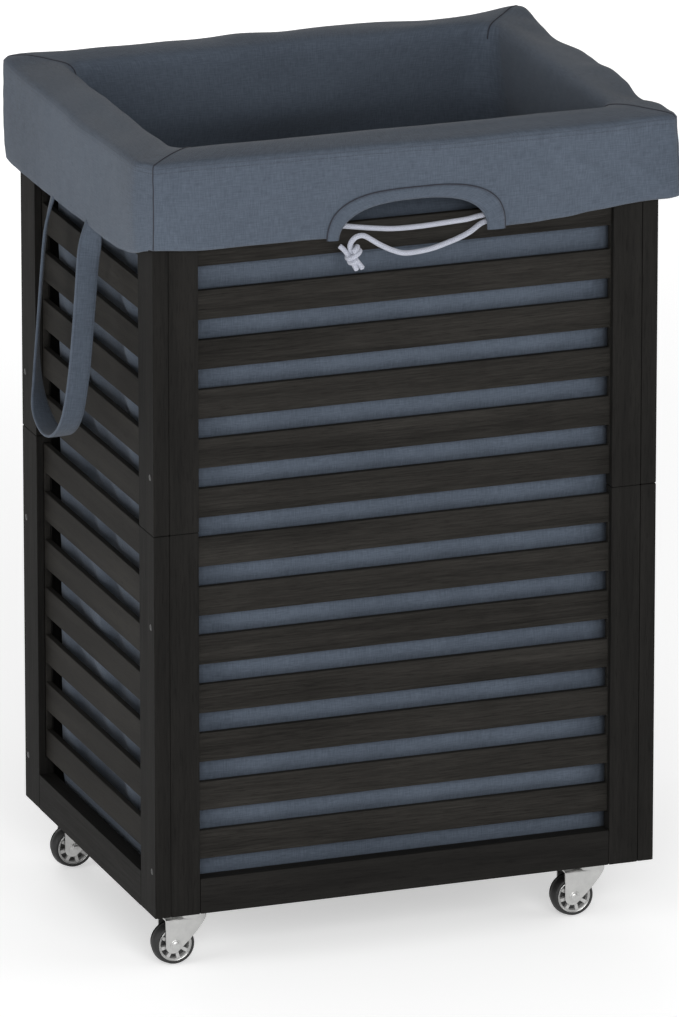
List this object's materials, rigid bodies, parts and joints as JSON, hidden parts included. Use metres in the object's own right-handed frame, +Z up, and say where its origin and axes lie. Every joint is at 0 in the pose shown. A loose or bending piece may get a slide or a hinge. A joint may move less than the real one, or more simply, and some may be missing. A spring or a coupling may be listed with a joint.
{
  "type": "rolling laundry hamper",
  "caption": "Tall slatted wooden hamper on swivel casters, with a lift-out fabric liner folded over its rim, side strap loops and a drawstring.",
  "frame": {"origin": "on the floor, under the centre of the frame", "axes": "+Z up, +X to the right and +Y to the back as seen from the front, where a drawstring knot hangs on the left"},
  "size_m": [0.5344, 0.3855, 0.734],
  "materials": {
    "frame_wood": "satin near-black stain with fine grain",
    "slat_wood": "satin near-black stain with lengthwise brushed grain",
    "base_wood": "matt near-black board",
    "caster_steel": "bright zinc plated stamped steel",
    "wheel_hub": "light grey moulded plastic with a bright rim",
    "wheel_tyre": "satin black rubber",
    "liner_fabric": "plain woven slate blue cloth",
    "strap_fabric": "folded and stitched slate blue cloth band",
    "drawstring": "pale grey braided round cord"
  },
  "bodies": {
    "frame": {"front_lower_left_stile": "frame_wood", "front_lower_right_stile": "frame_wood", "front_lower_rail": "frame_wood", "front_lower_slats": "slat_wood", "front_upper_left_stile": "frame_wood", "front_upper_right_stile": "frame_wood", "front_upper_rail": "frame_wood", "front_upper_slats": "slat_wood", "right_lower_left_stile": "frame_wood", "right_lower_right_stile": "frame_wood", "right_lower_rail": "frame_wood", "right_lower_slats": "slat_wood", "right_upper_left_stile": "frame_wood", "right_upper_right_stile": "frame_wood", "right_upper_rail": "frame_wood", "right_upper_slats": "slat_wood", "back_lower_left_stile": "frame_wood", "back_lower_right_stile": "frame_wood", "back_lower_rail": "frame_wood", "back_lower_slats": "slat_wood", "back_upper_left_stile": "frame_wood", "back_upper_right_stile": "frame_wood", "back_upper_rail": "frame_wood", "back_upper_slats": "slat_wood", "left_lower_left_stile": "frame_wood", "left_lower_right_stile": "frame_wood", "left_lower_rail": "frame_wood", "left_lower_slats": "slat_wood", "left_upper_left_stile": "frame_wood", "left_upper_right_stile": "frame_wood", "left_upper_rail": "frame_wood", "left_upper_slats": "slat_wood", "base_board": "base_wood", "caster_plate_front_left": "caster_steel", "caster_plate_front_right": "caster_steel", "caster_plate_back_left": "caster_steel", "caster_plate_back_right": "caster_steel"},
    "fork_front_left": {"caster_fork_front_left": "caster_steel"},
    "wheel_front_left": {"wheel_hub_front_left": "wheel_hub", "wheel_tyre_front_left": "wheel_tyre"},
    "fork_front_right": {"caster_fork_front_right": "caster_steel"},
    "wheel_front_right": {"wheel_hub_front_right": "wheel_hub", "wheel_tyre_front_right": "wheel_tyre"},
    "fork_back_left": {"caster_fork_back_left": "caster_steel"},
    "wheel_back_left": {"wheel_hub_back_left": "wheel_hub", "wheel_tyre_back_left": "wheel_tyre"},
    "fork_back_right": {"caster_fork_back_right": "caster_steel"},
    "wheel_back_right": {"wheel_hub_back_right": "wheel_hub", "wheel_tyre_back_right": "wheel_tyre"},
    "liner": {"liner_bag": "liner_fabric", "liner_cuff": "liner_fabric", "front_return_cord": "drawstring", "front_drawstring": "drawstring", "front_drawstring_knot": "drawstring"},
    "strap_left": {"strap_left": "strap_fabric"},
    "strap_right": {"strap_right": "strap_fabric"}
  },
  "joints": [
    {"name": "swivel_front_left", "type": "hinge", "parent": "frame", "child": "fork_front_left", "pos_m": [-0.185, -0.136, 0.046], "axis": [0, 0, 1], "continuous": true},
    {"name": "roll_front_left", "type": "hinge", "parent": "fork_front_left", "child": "wheel_front_left", "pos_m": [-0.201, -0.136, 0.019], "axis": [0, 1, 0], "continuous": true},
    {"name": "swivel_front_right", "type": "hinge", "parent": "frame", "child": "fork_front_right", "pos_m": [0.185, -0.136, 0.046], "axis": [0, 0, 1], "continuous": true},
    {"name": "roll_front_right", "type": "hinge", "parent": "fork_front_right", "child": "wheel_front_right", "pos_m": [0.169, -0.136, 0.019], "axis": [0, 1, 0], "continuous": true},
    {"name": "swivel_back_left", "type": "hinge", "parent": "frame", "child": "fork_back_left", "pos_m": [-0.185, 0.136, 0.046], "axis": [0, 0, 1], "continuous": true},
    {"name": "roll_back_left", "type": "hinge", "parent": "fork_back_left", "child": "wheel_back_left", "pos_m": [-0.201, 0.136, 0.019], "axis": [0, 1, 0], "continuous": true},
    {"name": "swivel_back_right", "type": "hinge", "parent": "frame", "child": "fork_back_right", "pos_m": [0.185, 0.136, 0.046], "axis": [0, 0, 1], "continuous": true},
    {"name": "roll_back_right", "type": "hinge", "parent": "fork_back_right", "child": "wheel_back_right", "pos_m": [0.169, 0.136, 0.019], "axis": [0, 1, 0], "continuous": true},
    {"name": "liner_lift", "type": "slide", "parent": "frame", "child": "liner", "axis": [0, 0, 1], "range_m": [0, 0.67]},
    {"name": "strap_left_swing", "type": "hinge", "parent": "liner", "child": "strap_left", "pos_m": [-0.245, 0, 0.645], "axis": [0, 1, 0], "range_deg": [0, 85]},
    {"name": "strap_right_swing", "type": "hinge", "parent": "liner", "child": "strap_right", "pos_m": [0.245, 0, 0.645], "axis": [0, -1, 0], "range_deg": [0, 85]}
  ]
}
